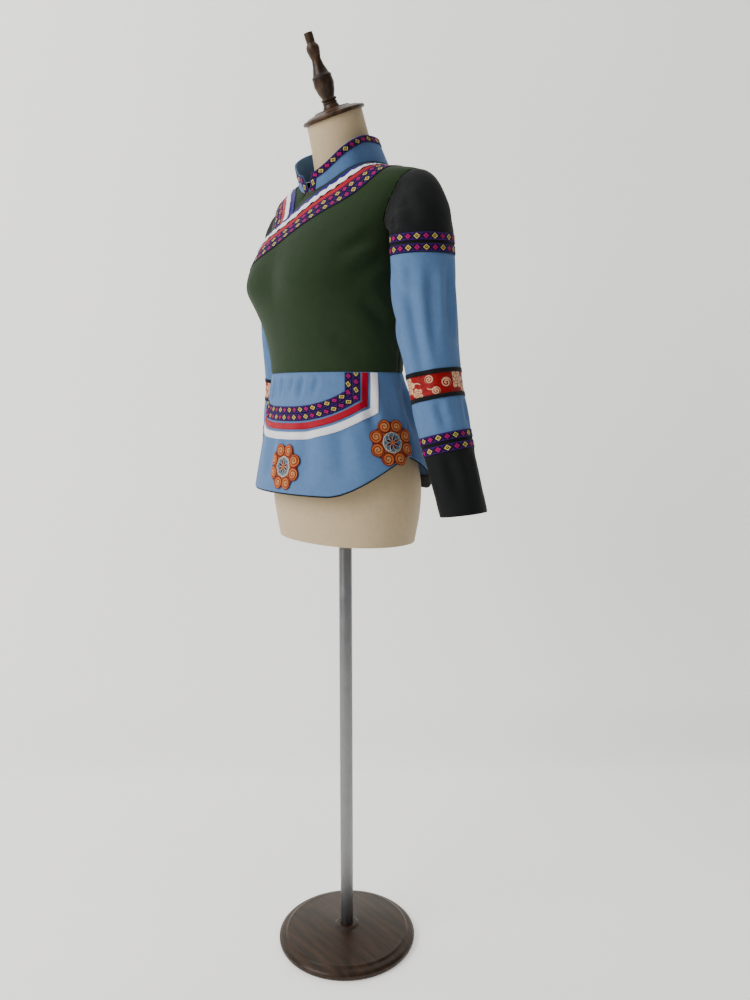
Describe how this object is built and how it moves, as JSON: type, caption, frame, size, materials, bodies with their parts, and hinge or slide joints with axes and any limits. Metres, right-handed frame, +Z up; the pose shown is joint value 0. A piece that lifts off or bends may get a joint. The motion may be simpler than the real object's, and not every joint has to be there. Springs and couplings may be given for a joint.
{
  "type": "side-fastening folk tunic on a limbless dress form",
  "caption": "Waist-seamed folk tunic with stand collar, diagonal ribbon-edged flap, banded sleeves and flared peplum, on a limbless dress form with a stand.",
  "frame": {"origin": "middle of the stand's underside, on the floor", "axes": "+Z up; the form faces -Y, and the wearer's left is +X"},
  "size_m": [0.6173, 0.2964, 1.694],
  "materials": {
    "green": "matte",
    "blue": "matte",
    "black": "matte",
    "white": "satin",
    "red": "satin",
    "brocade": "satin",
    "violet": "satin",
    "woven": "matte",
    "medallion": "matte",
    "form_cloth": "matte",
    "dark_wood": "gloss",
    "steel": "satin"
  },
  "bodies": {
    "root": {"back": "green", "flap": "green", "right_front": "green", "peplum_front": "blue", "peplum_back": "blue", "facing_front": "black", "facing_back": "black", "collar": "blue", "collar_trim": "woven", "violet_ribbon": "violet", "white_ribbon": "white", "red_ribbon": "red", "woven_ribbon_inner": "woven", "woven_ribbon_outer": "woven", "u_woven_inner": "woven", "u_woven_outer": "woven", "u_red": "red", "u_white": "white", "medallion_front": "medallion", "medallion_left": "medallion", "medallion_right": "medallion", "left_cap": "black", "left_trim_1": "woven", "left_trim_2": "woven", "left_upper": "blue", "left_edging_1": "black", "left_brocade": "brocade", "left_edging_2": "black", "left_lower": "blue", "left_trim_3": "woven", "left_trim_4": "woven", "left_cuff": "black", "right_cap": "black", "right_trim_1": "woven", "right_trim_2": "woven", "right_upper": "blue", "right_edging_1": "black", "right_brocade": "brocade", "right_edging_2": "black", "right_lower": "blue", "right_trim_3": "woven", "right_trim_4": "woven", "right_cuff": "black", "form_body": "form_cloth", "neck_cap": "dark_wood", "finial": "dark_wood", "base": "dark_wood", "pole": "steel"}
  },
  "joints": []
}
